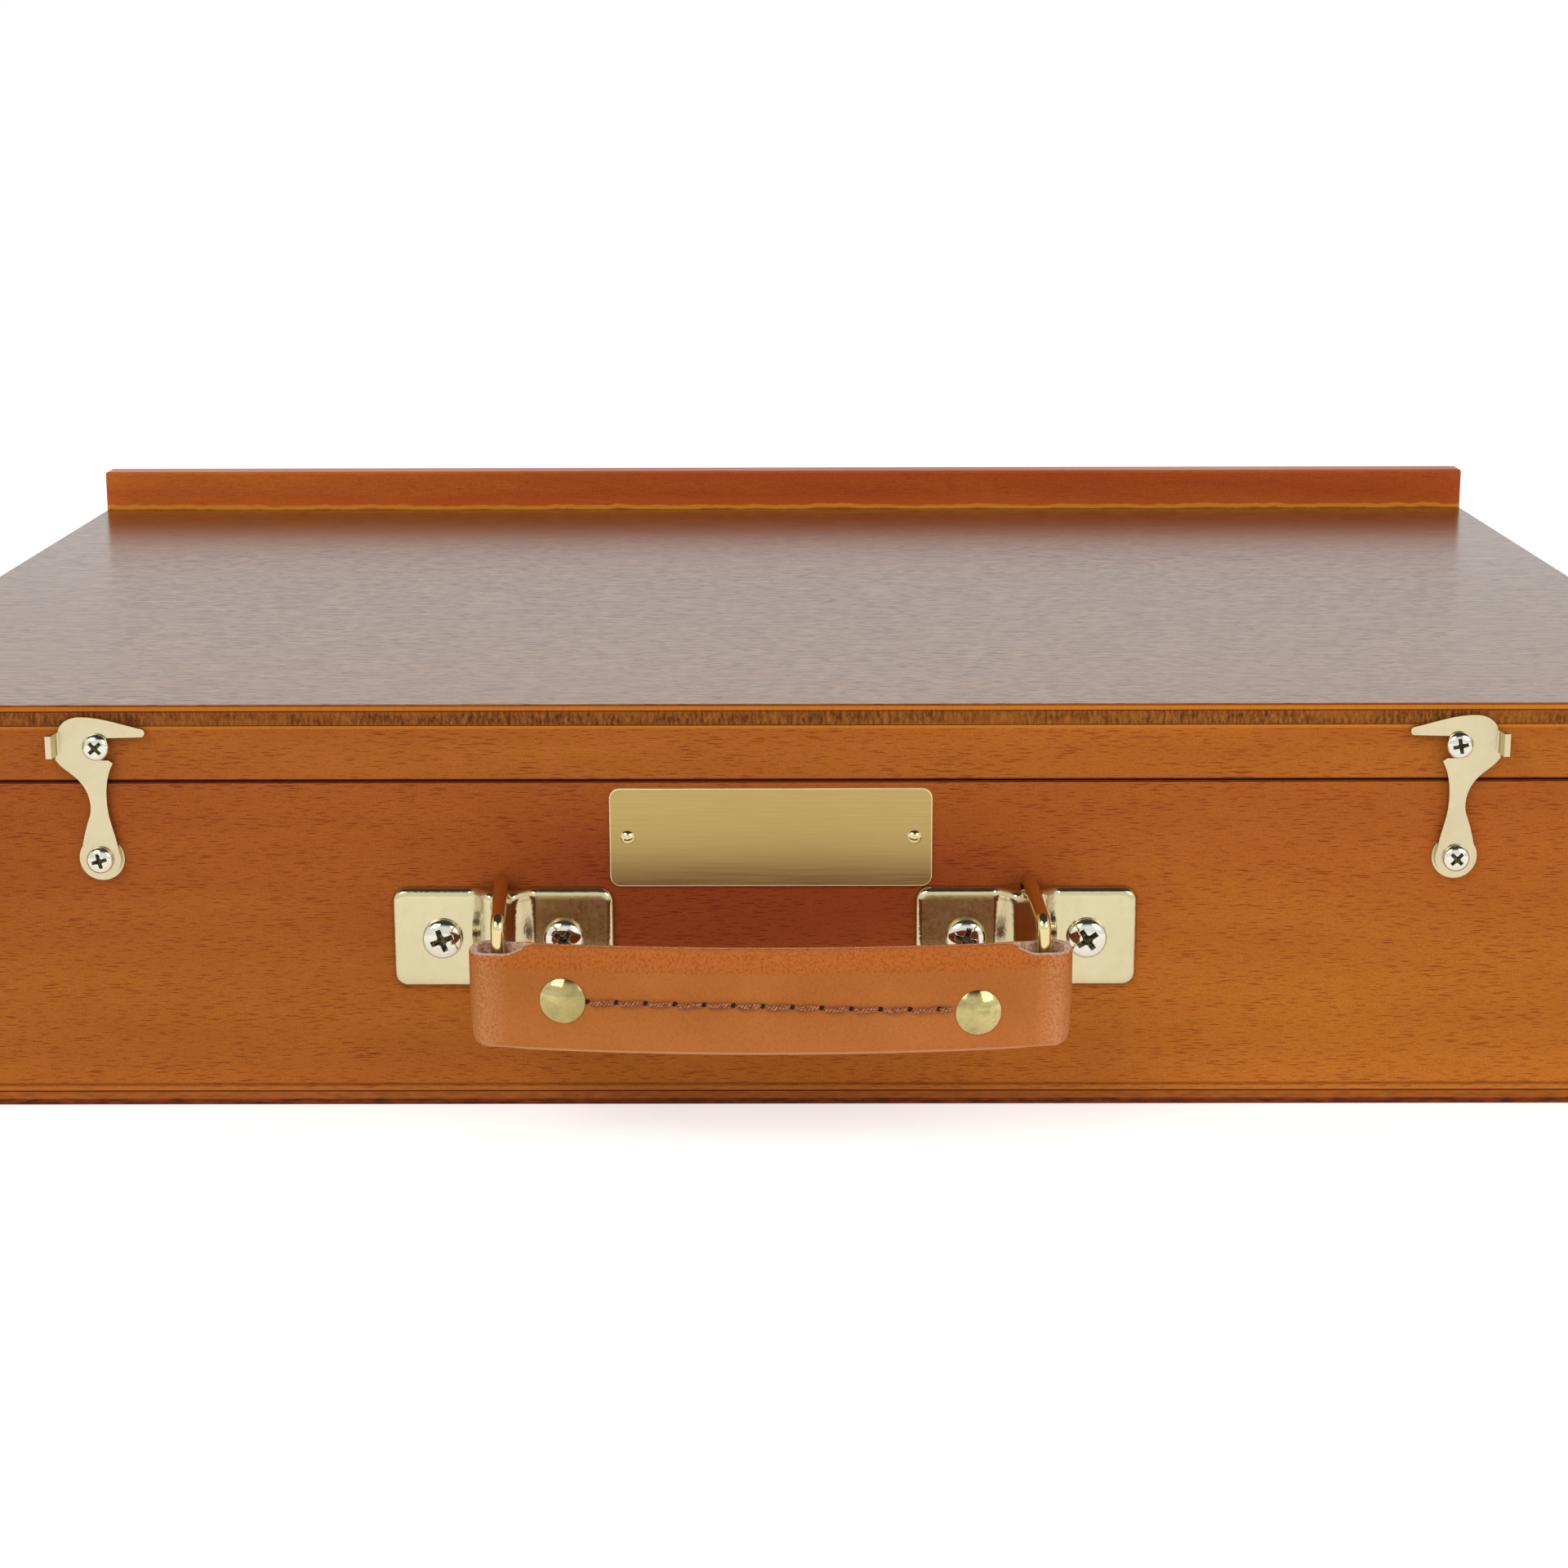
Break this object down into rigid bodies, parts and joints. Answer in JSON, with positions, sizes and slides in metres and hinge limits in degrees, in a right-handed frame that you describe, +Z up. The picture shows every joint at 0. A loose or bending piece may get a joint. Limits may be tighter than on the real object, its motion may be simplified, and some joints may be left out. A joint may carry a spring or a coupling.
{
  "type": "pochade box",
  "caption": "Shallow wooden painting box with hinged lid, canvas ledge along the hinge edge, leather grip on wire rings, hook latches, elbow lid stays, compartments and a palette in the lid.",
  "frame": {"origin": "centre of the underside of the bottom panel, on the surface that the box stands on", "axes": "+X across the front to the right as seen from the handle side, +Y from the handle side to the hinges, +Z up"},
  "size_m": [0.4, 0.3408, 0.0962],
  "materials": {
    "case_beech": "stained and varnished, satin gloss",
    "lid_veneer": "veneered plywood, glossy lacquer",
    "ledge_beech": "stained and varnished, glossy",
    "bottom_plywood": "stained plywood, satin",
    "inner_wood": "bare light wood",
    "palette_wood": "oiled plywood",
    "strap_leather": "smooth tan leather, satin",
    "plated_brass": "polished pale brass plating",
    "label_brass": "fine brushed brass",
    "screw_steel": "bright plated",
    "hinge_brass": "satin brass",
    "stay_steel": "zinc plated steel"
  },
  "bodies": {
    "base": {"base_front_wall": "case_beech", "base_back_wall": "case_beech", "base_left_wall": "case_beech", "base_right_wall": "case_beech", "bottom_panel": "bottom_plywood", "long_divider": "inner_wood", "cross_divider_1": "inner_wood", "cross_divider_2": "inner_wood", "label_plate": "label_brass", "label_pins": "label_brass", "handle_plate_left": "plated_brass", "handle_plate_right": "plated_brass", "handle_screws": "screw_steel", "latch_washers": "plated_brass", "latch_pivot_screws": "screw_steel", "hinge_leaf_base_left": "hinge_brass", "hinge_leaf_base_right": "hinge_brass", "hinge_pins": "hinge_brass", "hinge_screws_base": "hinge_brass", "stay_spacers_base": "stay_steel", "stay_screws_base": "screw_steel"},
    "lid": {"lid_panel": "lid_veneer", "lid_front_rail": "case_beech", "lid_back_rail": "case_beech", "lid_left_rail": "case_beech", "lid_right_rail": "case_beech", "canvas_ledge": "ledge_beech", "palette": "palette_wood", "palette_rear_cleat": "inner_wood", "palette_front_cleat": "inner_wood", "latch_catch_screws": "screw_steel", "hinge_leaf_lid_left": "hinge_brass", "hinge_leaf_lid_right": "hinge_brass", "hinge_screws_lid": "hinge_brass", "stay_spacers_lid": "stay_steel", "stay_screws_lid": "screw_steel", "button_screws": "screw_steel"},
    "latch_left": {"latch_left": "plated_brass"},
    "latch_right": {"latch_right": "plated_brass"},
    "ring_left": {"ring_left": "plated_brass"},
    "ring_right": {"ring_right": "plated_brass"},
    "strap": {"handle_strap": "strap_leather", "handle_rivets": "plated_brass"},
    "stay_lower_left": {"stay_lower_left": "stay_steel", "elbow_bolt_left": "stay_steel", "wing_nut_left": "stay_steel"},
    "stay_lower_right": {"stay_lower_right": "stay_steel", "elbow_bolt_right": "stay_steel", "wing_nut_right": "stay_steel"},
    "stay_upper_left": {"stay_upper_left": "stay_steel"},
    "stay_upper_right": {"stay_upper_right": "stay_steel"},
    "turn_button_left": {"turn_button_left": "hinge_brass"},
    "turn_button_right": {"turn_button_right": "hinge_brass"}
  },
  "joints": [
    {"name": "lid_hinge", "type": "hinge", "parent": "base", "child": "lid", "pos_m": [0, 0.1526, 0.0692], "axis": [-1, 0, 0], "range_deg": [0, 105]},
    {"name": "latch_left_swing", "type": "hinge", "parent": "base", "child": "latch_left", "pos_m": [-0.138, -0.1508, 0.0533], "axis": [0, -1, 0], "range_deg": [0, 110]},
    {"name": "latch_right_swing", "type": "hinge", "parent": "base", "child": "latch_right", "pos_m": [0.138, -0.1508, 0.0533], "axis": [0, 1, 0], "range_deg": [0, 110]},
    {"name": "handle_sway", "type": "hinge", "parent": "base", "child": "ring_left", "pos_m": [-0.0563, -0.15185, 0.0365], "axis": [0, 0, 1], "range_deg": [-65, 65]},
    {"name": "strap_pivot", "type": "hinge", "parent": "ring_left", "child": "strap", "pos_m": [-0.05485, -0.17696, 0.0365], "axis": [0, 0, 1], "range_deg": [-65, 65]},
    {"name": "ring_right_sway", "type": "hinge", "parent": "base", "child": "ring_right", "pos_m": [0.0509, -0.15185, 0.0365], "axis": [0, 0, 1], "range_deg": [-65, 65]},
    {"name": "stay_lower_left_pivot", "type": "hinge", "parent": "base", "child": "stay_lower_left", "pos_m": [-0.187, 0.0676, 0.0572], "axis": [-1, 0, 0], "range_deg": [0, 105]},
    {"name": "stay_upper_left_pivot", "type": "hinge", "parent": "lid", "child": "stay_upper_left", "pos_m": [-0.1855, 0.0676, 0.0742], "axis": [-1, 0, 0], "range_deg": [-105, 0]},
    {"name": "turn_button_left_swing", "type": "hinge", "parent": "lid", "child": "turn_button_left", "pos_m": [-0.11, -0.1355, 0.0746], "axis": [0, 0, 1], "range_deg": [-90, 90]},
    {"name": "stay_lower_right_pivot", "type": "hinge", "parent": "base", "child": "stay_lower_right", "pos_m": [0.187, 0.0676, 0.0572], "axis": [-1, 0, 0], "range_deg": [0, 105]},
    {"name": "stay_upper_right_pivot", "type": "hinge", "parent": "lid", "child": "stay_upper_right", "pos_m": [0.1855, 0.0676, 0.0742], "axis": [-1, 0, 0], "range_deg": [-105, 0]},
    {"name": "turn_button_right_swing", "type": "hinge", "parent": "lid", "child": "turn_button_right", "pos_m": [0.11, -0.1355, 0.0746], "axis": [0, 0, 1], "range_deg": [-90, 90]}
  ],
  "couplings": [
    {"joint": "strap_pivot", "follows": "handle_sway", "ratio": -1},
    {"joint": "ring_right_sway", "follows": "handle_sway", "ratio": 1},
    {"joint": "stay_lower_left_pivot", "follows": "lid_hinge", "ratio": 1},
    {"joint": "stay_upper_left_pivot", "follows": "lid_hinge", "ratio": -1},
    {"joint": "stay_lower_right_pivot", "follows": "lid_hinge", "ratio": 1},
    {"joint": "stay_upper_right_pivot", "follows": "lid_hinge", "ratio": -1}
  ]
}
